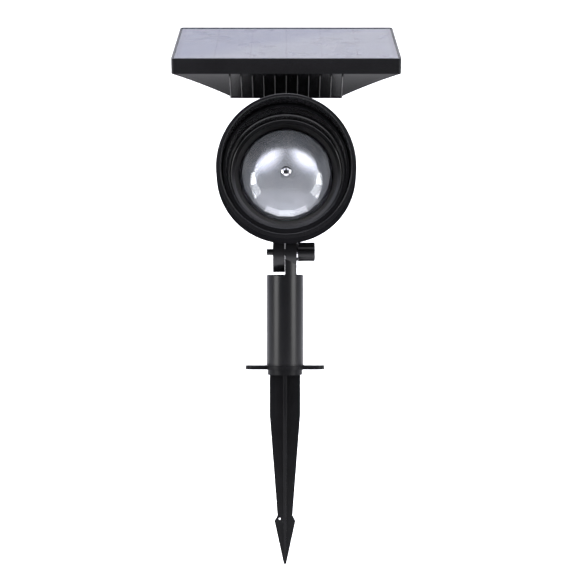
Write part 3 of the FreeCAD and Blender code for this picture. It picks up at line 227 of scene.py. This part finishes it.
def cell_material():
    """Blue-black silicon with fine printed fingers across and two busbars along each cell."""
    r = Recipe("silicon_cell")
    axis = r.add("ShaderNodeSeparateXYZ")
    r.link(r.place, axis.inputs["Vector"])

    def stripes(pitch, share, output):
        scaled = r.add("ShaderNodeMath", operation="DIVIDE")
        r.link(axis.outputs[output], scaled.inputs[0])
        scaled.inputs[1].default_value = pitch
        part = r.add("ShaderNodeMath", operation="FRACT")
        r.link(scaled.outputs[0], part.inputs[0])
        line = r.add("ShaderNodeMath", operation="LESS_THAN")
        r.link(part.outputs[0], line.inputs[0])
        line.inputs[1].default_value = share
        return line.outputs[0]

    both = r.add("ShaderNodeMath", operation="MAXIMUM")
    r.link(stripes(FINGER_PITCH, LINE_SHARE, "X"), both.inputs[0])
    r.link(stripes(BUSBAR_PITCH, LINE_SHARE, "Y"), both.inputs[1])
    silicon = r.between(r.spread(r.noise(45, 4), 0, 1), (0.010, 0.014, 0.035), (0.016, 0.022, 0.05))
    mixed = r.add("ShaderNodeMix", data_type="RGBA")
    r.link(both.outputs[0], mixed.inputs["Factor"])
    r.link(silicon, mixed.inputs["A"])
    mixed.inputs["B"].default_value = (0.07, 0.075, 0.10, 1)
    r.link(mixed.outputs["Result"], r.shader.inputs["Base Color"])
    r.link(r.spread(r.noise(45, 4), 0.25, 0.35), r.shader.inputs["Roughness"])
    return r.material


def panel_glass_material():
    """The panel's clear cover: a thin resin sheet, very slightly uneven in tint and gloss."""
    r = Recipe("panel_glass")
    wave = r.noise(140, 2)
    r.link(
        r.between(r.spread(wave, 0, 1), (0.86, 0.88, 0.95), (0.92, 0.93, 0.98)),
        r.shader.inputs["Base Color"],
    )
    r.link(r.spread(wave, 0.006, 0.012), r.shader.inputs["Roughness"])
    r.set(Transmission_Weight=1.0, IOR=1.5)
    return r.material


def hood_material():
    """The case's gloss black inside and on the lip, and a dead matte black on the hood's outer skin."""
    r = Recipe("hood_black")
    mottle = r.noise(60, 4)
    r.link(
        r.between(r.spread(mottle, 0, 1), (0.0040, 0.0040, 0.0045), (0.0055, 0.0055, 0.0062)),
        r.shader.inputs["Base Color"],
    )
    r.link(r.spread(r.noise(25, 3), 0.18, 0.21), r.shader.inputs["Roughness"])
    centre = r.add("ShaderNodeVectorMath", operation="SUBTRACT")
    r.link(r.place, centre.inputs[0])
    centre.inputs[1].default_value = HEAD_CENTRE
    offset = r.add("ShaderNodeVectorMath", operation="CROSS_PRODUCT")
    r.link(centre.outputs["Vector"], offset.inputs[0])
    offset.inputs[1].default_value = HEAD_AXIS
    radius = r.add("ShaderNodeVectorMath", operation="LENGTH")
    r.link(offset.outputs["Vector"], radius.inputs[0])
    gloss = r.spread(radius.outputs["Value"], 0.20, 0.0, from_low=HOOD_SKIN[0], from_high=HOOD_SKIN[1])
    r.link(gloss, r.shader.inputs["Specular IOR Level"])
    r.bump(r.noise(1400, 2), 0.06, 0.00002)
    return r.material


def ribbed_material():
    """The cover's gloss black, with a painted highlight: a paler base colour on the forward faces of its
    rib crests.
    """
    r = Recipe("ribbed_black")
    axis = r.add("ShaderNodeSeparateXYZ")
    r.link(r.place, axis.inputs["Vector"])
    facing = r.add("ShaderNodeSeparateXYZ")
    r.link(r.add("ShaderNodeNewGeometry").outputs["True Normal"], facing.inputs["Vector"])

    def test(value, operation, limit):
        made = r.add("ShaderNodeMath", operation=operation)
        r.link(value, made.inputs[0])
        made.inputs[1].default_value = limit
        return made.outputs[0]

    def both(first, second):
        made = r.add("ShaderNodeMath", operation="MULTIPLY")
        r.link(first, made.inputs[0])
        r.link(second, made.inputs[1])
        return made.outputs[0]

    crest = test(test(test(axis.outputs["X"], "SUBTRACT", RIB_START), "DIVIDE", RIB_PITCH), "FRACT", 0)
    crest = test(crest, "LESS_THAN", RIB_WIDTH / RIB_PITCH)
    across = test(test(axis.outputs["X"], "SUBTRACT", HEAD_SIDE), "ABSOLUTE", 0)
    across = test(across, "LESS_THAN", RIBS_HALF_SPAN)
    forward = test(facing.outputs["Y"], "LESS_THAN", -0.2)
    low = r.spread(axis.outputs["Z"], 1.0, 0.0, from_low=RIB_HIGHLIGHT_FADE[0], from_high=RIB_HIGHLIGHT_FADE[1])
    # painted highlight: the forward faces of the rib crests get a paler colour, standing in for light
    # caught on their edges
    painted_highlight = both(both(both(crest, across), forward), low)
    r.link(r.between(painted_highlight, (0.0048, 0.0048, 0.0053), (0.08, 0.08, 0.08)), r.shader.inputs["Base Color"])
    r.link(r.spread(r.noise(25, 3), 0.18, 0.21), r.shader.inputs["Roughness"])
    r.set(Specular_IOR_Level=0.06)
    r.bump(r.noise(1400, 2), 0.06, 0.00002)
    return r.material


MATERIALS["clear_lens"] = dome_material()
MATERIALS["mirror_coat"] = mirror_material()
MATERIALS["silicon_cell"] = cell_material()
MATERIALS["panel_glass"] = panel_glass_material()

OWN_MATERIALS = {
    "panel_cover": ribbed_material(),
    "front_hood": hood_material(),
    "ground_spike": plastic(
        "spike_black", (0.0040, 0.0040, 0.0044), (0.0060, 0.0060, 0.0066),
        (0.28, 0.34), (1100, 0.12, 0.00003), spec=0.09,
    ),
}
slot_of = {row["node"]: row["material_slot"] for row in frame["record"]["subparts"]}
for name, piece in nodes.items():
    piece.data.materials.clear()
    piece.data.materials.append(OWN_MATERIALS.get(name, MATERIALS[slot_of[name]]))


# ---------------------------------------------------------------- stage, light and camera


def staged_mesh(name, corners, faces, material):
    mesh = bpy.data.meshes.new(name)
    mesh.from_pydata(corners, [], faces)
    mesh.materials.append(material)
    made = bpy.data.objects.new(name, mesh)
    scene.collection.objects.link(made)
    return made


def paper_material():
    """Pale paper with painted light: its colour and glow are white behind the object and fall off to a
    painted grey shade towards the camera.
    """
    r = Recipe("paper")
    axis = r.add("ShaderNodeSeparateXYZ")
    r.link(r.place, axis.inputs["Vector"])
    # painted light and shade: a grey-to-white gradient by depth, used for both the paper's colour and its
    # glow
    behind = r.add("ShaderNodeMapRange", interpolation_type="SMOOTHSTEP")
    behind.inputs["From Min"].default_value = FLOOR_FADE[0]
    behind.inputs["From Max"].default_value = FLOOR_FADE[1]
    r.link(axis.outputs["Y"], behind.inputs["Value"])
    grain = r.spread(r.noise(3, 2), 0.985, 1.0)
    painted_light = r.add("ShaderNodeMath", operation="MULTIPLY")
    r.link(behind.outputs["Result"], painted_light.inputs[0])
    r.link(grain, painted_light.inputs[1])
    colour = r.between(painted_light.outputs[0], (0.10, 0.10, 0.105), (0.93, 0.93, 0.93))
    r.link(colour, r.shader.inputs["Base Color"])
    r.link(colour, r.shader.inputs["Emission Color"])
    r.set(Roughness=0.9, Emission_Strength=0.40)
    return r.material


SWEEP_FRONT = -2.60
SWEEP_BEND = 1.2
SWEEP_RADIUS = 0.8
SWEEP_HEIGHT = 0.9
SWEEP_HALF_WIDTH = 2.2
SWEEP_STEPS = 12


def make_sweep(floor_z):
    """A pale floor that curves up into a backdrop."""
    profile = [(SWEEP_FRONT, floor_z), (SWEEP_BEND, floor_z)]
    for step in range(1, SWEEP_STEPS + 1):
        turn = math.radians(90 * step / SWEEP_STEPS)
        profile.append(
            (SWEEP_BEND + SWEEP_RADIUS * math.sin(turn), floor_z + SWEEP_RADIUS * (1 - math.cos(turn)))
        )
    profile.append((SWEEP_BEND + SWEEP_RADIUS, floor_z + SWEEP_HEIGHT))
    corners = []
    for y, z in profile:
        corners += [(-SWEEP_HALF_WIDTH, y, z), (SWEEP_HALF_WIDTH, y, z)]
    faces = [(2 * i, 2 * i + 1, 2 * i + 3, 2 * i + 2) for i in range(len(profile) - 1)]
    sweep = staged_mesh("sweep", corners, faces, paper_material())
    for face in sweep.data.polygons:
        face.use_smooth = True


def softbox(name, azimuth, elevation, distance, width, height, strength, target=(0, 0, 0.06)):
    """A rectangular area light aimed at the object; azimuth 0 is straight in front, + to the right."""
    az, el = math.radians(azimuth), math.radians(elevation)
    aim = Vector(target)
    away = Vector((math.sin(az) * math.cos(el), -math.cos(az) * math.cos(el), math.sin(el)))
    data = bpy.data.lights.new(name, "AREA")
    data.shape = "RECTANGLE"
    data.size, data.size_y = width, height
    data.energy = strength
    lamp = bpy.data.objects.new(name, data)
    scene.collection.objects.link(lamp)
    lamp.location = aim + away * distance
    lamp.rotation_euler = (-away).to_track_quat("-Z", "Y").to_euler()


def make_world():
    """Bright behind and overhead, dark on the camera's side but for two soft round glows."""
    world = bpy.data.worlds.new("studio")
    scene.world = world
    world.use_nodes = True
    tree = world.node_tree
    background = tree.nodes["Background"]
    direction = tree.nodes.new("ShaderNodeTexCoord").outputs["Generated"]

    def along(vector):
        made = tree.nodes.new("ShaderNodeVectorMath")
        made.operation = "DOT_PRODUCT"
        tree.links.new(direction, made.inputs[0])
        made.inputs[1].default_value = vector
        return made.outputs["Value"]

    def ramp(value, from_low, from_high, low, high, smooth=False):
        made = tree.nodes.new("ShaderNodeMapRange")
        made.interpolation_type = "SMOOTHSTEP" if smooth else "LINEAR"
        made.inputs["From Min"].default_value = from_low
        made.inputs["From Max"].default_value = from_high
        made.inputs["To Min"].default_value = low
        made.inputs["To Max"].default_value = high
        tree.links.new(value, made.inputs["Value"])
        return made.outputs["Result"]

    def plus(first, second):
        made = tree.nodes.new("ShaderNodeMath")
        made.operation = "ADD"
        tree.links.new(first, made.inputs[0])
        tree.links.new(second, made.inputs[1])
        return made.outputs[0]

    def glow(aim, edge, core, peak):
        """A round patch of light, full inside `core` degrees and gone beyond `edge`."""
        return ramp(along(aim), math.cos(math.radians(edge)), math.cos(math.radians(core)), 0.0, peak, True)

    strength = ramp(along((0, 1, 0)), -0.35, 0.30, 0.03, 0.80)
    for side in (-1, 1):
        az, el = math.radians(side * GLOW_AZIMUTH), math.radians(GLOW_ELEVATION)
        aim = (math.sin(az) * math.cos(el), -math.cos(az) * math.cos(el), math.sin(el))
        strength = plus(strength, glow(aim, GLOW_EDGE, GLOW_CORE, GLOW_STRENGTH))
    raised = math.radians(OVERHEAD_ELEVATION)
    overhead = (0, -math.cos(raised), math.sin(raised))
    strength = plus(strength, glow(overhead, OVERHEAD_EDGE, OVERHEAD_CORE, OVERHEAD_STRENGTH))
    tree.links.new(strength, background.inputs["Strength"])

    # the ceiling behind changes tint across a slanted edge
    ceiling = ramp(along((0.141, 0, 1)), 0.5030, 0.5066, 0.0, 1.0)
    tint = tree.nodes.new("ShaderNodeMix")
    tint.data_type = "RGBA"
    tree.links.new(ceiling, tint.inputs["Factor"])
    tint.inputs["A"].default_value = (0.84, 0.85, 1.0, 1)
    tint.inputs["B"].default_value = (0.98, 0.98, 1.08, 1)
    tree.links.new(tint.outputs["Result"], background.inputs["Color"])


GLOW_AZIMUTH = 37
GLOW_ELEVATION = 40
GLOW_EDGE = 27
GLOW_CORE = 9
GLOW_STRENGTH = 2.8
OVERHEAD_ELEVATION = 76
OVERHEAD_EDGE = 28
OVERHEAD_CORE = 12
OVERHEAD_STRENGTH = 6.0
FLOOR_GAP = 0.001

make_sweep(cad_bounds[0][2] - FLOOR_GAP)
make_world()
for side in (-1, 1):
    softbox("strip", side * 55, 8, 1.3, 0.62, 0.9, 12.0)
softbox("softbox_top", 180, 62, 1.5, 1.4, 1.0, 22)

camera_data = bpy.data.cameras.new("camera")
camera = bpy.data.objects.new("camera", camera_data)
scene.collection.objects.link(camera)
camera_data.sensor_width = 36
camera_data.lens = 108.9
camera.location = (0.0019, -1.095, 0.0511)
camera.rotation_euler = (math.radians(90), 0, 0)
scene.camera = camera

scene.view_settings.view_transform = "Standard"
scene.view_settings.look = "None"
